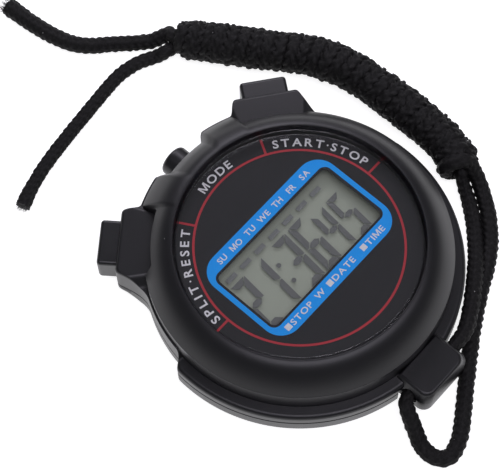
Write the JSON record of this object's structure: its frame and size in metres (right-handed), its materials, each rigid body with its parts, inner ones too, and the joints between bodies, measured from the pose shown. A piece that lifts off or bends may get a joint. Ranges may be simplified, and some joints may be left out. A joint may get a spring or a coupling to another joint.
{
  "type": "digital stopwatch",
  "caption": "Hand-held digital stopwatch with a round black case, three push buttons, a display window and a braided lanyard wound into a grip.",
  "frame": {"origin": "centre of the flat back of the case", "axes": "+Z out of the dial, +Y towards 12 o'clock and the mode button, +X towards 3 o'clock; the lanyard lug is at -Y"},
  "size_m": [0.0761, 0.1313, 0.0171],
  "materials": {
    "case_plastic": "satin, finely textured",
    "button_plastic": "satin",
    "clear_lens": "clear, polished",
    "dial_print": "printed film",
    "display_glass": "grey-green polariser",
    "reflector_foil": "satin",
    "white_plastic": "moulded",
    "zebra_rubber": "matte",
    "board_laminate": "solder mask",
    "chip_epoxy": "cured drop",
    "plated_steel": "plated",
    "brass": "rolled",
    "braided_cord": "braided"
  },
  "bodies": {
    "case": {"front_case": "case_plastic", "rear_case": "case_plastic", "battery_cover": "case_plastic", "lens": "clear_lens", "dial_film": "dial_print", "lcd_panel": "display_glass", "lcd_reflector": "reflector_foil", "lcd_holder": "white_plastic", "zebra_strip_upper": "zebra_rubber", "zebra_strip_lower": "zebra_rubber", "circuit_board": "board_laminate", "chip_blob": "chip_epoxy", "quartz_crystal": "plated_steel", "battery": "plated_steel", "battery_contact_plus": "brass", "battery_contact_minus": "brass", "battery_cover_screw": "plated_steel", "piezo_disc": "brass", "piezo_spring": "plated_steel", "case_screw_1": "plated_steel", "case_screw_2": "plated_steel", "case_screw_3": "plated_steel", "case_screw_4": "plated_steel", "board_screw_1": "plated_steel", "board_screw_2": "plated_steel", "board_screw_3": "plated_steel", "start_stop_contact": "brass", "split_reset_contact": "brass", "mode_contact": "brass", "lanyard_loop": "braided_cord", "lanyard_grip": "braided_cord", "lanyard_upper_tail": "braided_cord", "lanyard_lower_tail": "braided_cord"},
    "start_stop": {"start_stop_button": "button_plastic"},
    "split_reset": {"split_reset_button": "button_plastic"},
    "mode": {"mode_button": "button_plastic"}
  },
  "joints": [
    {"name": "start_stop_press", "type": "slide", "parent": "case", "child": "start_stop", "axis": [-0.6115, -0.7912, 0], "range_m": [0, 0.0013], "stiffness_N_per_m": 1200, "springref_m": -0.0008, "deforming": ["start_stop_contact"]},
    {"name": "split_reset_press", "type": "slide", "parent": "case", "child": "split_reset", "axis": [0.6115, -0.7912, 0], "range_m": [0, 0.0013], "stiffness_N_per_m": 1200, "springref_m": -0.0008, "deforming": ["split_reset_contact"]},
    {"name": "mode_press", "type": "slide", "parent": "case", "child": "mode", "axis": [0, -1, 0], "range_m": [0, 0.0013], "stiffness_N_per_m": 1200, "springref_m": -0.0008, "deforming": ["mode_contact"]}
  ]
}
